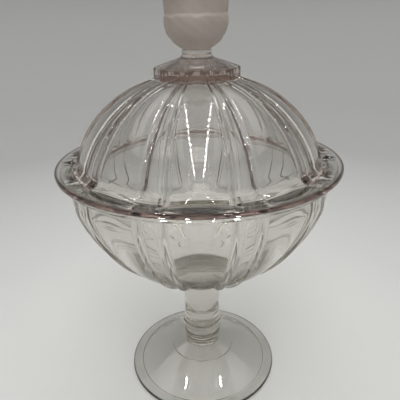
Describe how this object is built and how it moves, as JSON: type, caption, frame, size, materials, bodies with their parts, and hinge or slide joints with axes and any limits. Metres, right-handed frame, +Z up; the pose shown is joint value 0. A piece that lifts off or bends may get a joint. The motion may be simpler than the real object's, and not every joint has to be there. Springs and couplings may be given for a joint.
{
  "type": "covered candy dish",
  "caption": "Tall footed candy dish in panelled pressed glass, with a lift-off domed lid and a frosted egg finial.",
  "frame": {"origin": "centre of the face that the foot stands on", "axes": "+Z up along the stem; -Y towards the middle of one wide panel, +X to its right"},
  "size_m": [0.216, 0.216, 0.3313],
  "materials": {
    "clear_glass": "polished pressed glass with a faint mauve tint",
    "frosted_glass": "acid-frosted glass"
  },
  "bodies": {
    "base": {"foot": "clear_glass", "stem_collar": "clear_glass", "stem": "clear_glass", "bowl": "clear_glass"},
    "cover": {"lid": "clear_glass", "lid_crown": "clear_glass", "finial_neck": "clear_glass", "finial": "frosted_glass"}
  },
  "joints": [
    {"name": "lid_lift", "type": "slide", "parent": "base", "child": "cover", "axis": [0, 0, 1], "range_m": [0, 0.15]}
  ]
}
